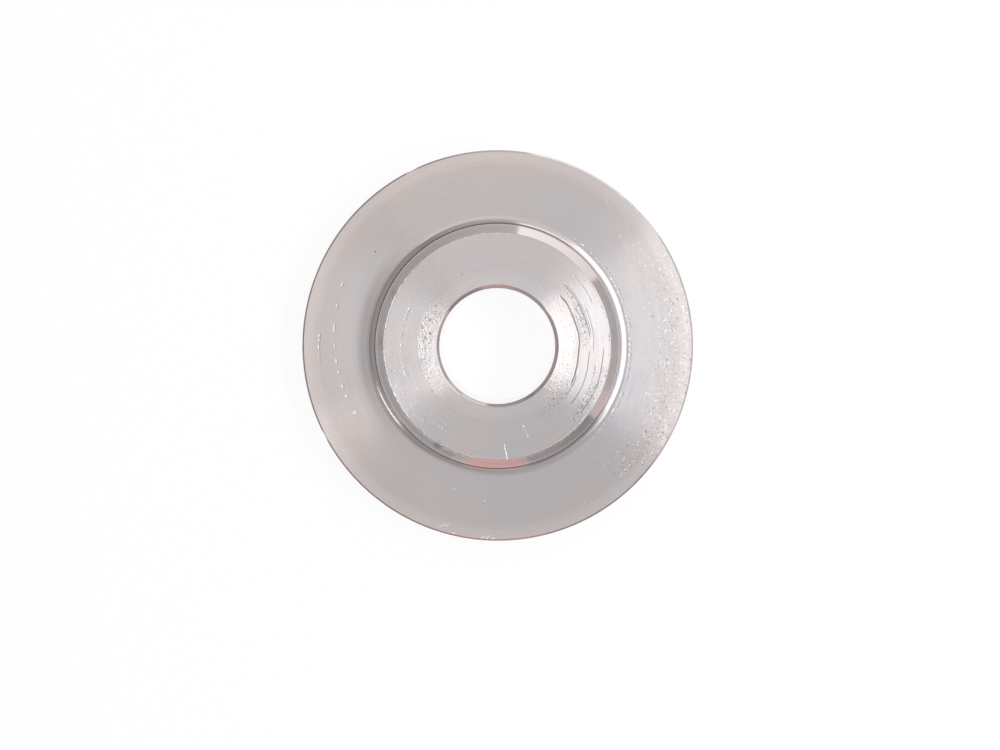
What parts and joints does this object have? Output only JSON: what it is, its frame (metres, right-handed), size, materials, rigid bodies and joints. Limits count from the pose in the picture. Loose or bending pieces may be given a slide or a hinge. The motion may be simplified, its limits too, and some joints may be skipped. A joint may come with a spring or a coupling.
{
  "type": "shoulder washer",
  "caption": "Turned steel washer: a flat round flange with a raised, chamfered round boss that centres a plate, and a plain bolt hole through both.",
  "frame": {"origin": "centre of the bolt hole on the flange's flat back face", "axes": "+Z along the hole, from the back face to the top of the boss; the part is round, so +X and +Y are free"},
  "size_m": [0.042, 0.042, 0.006],
  "materials": {
    "turned_steel": "bare steel, faced on a lathe, with fine concentric tool marks, a few radial scratches and small nicks from handling"
  },
  "bodies": {
    "root": {"shoulder_washer": "turned_steel"}
  },
  "joints": []
}
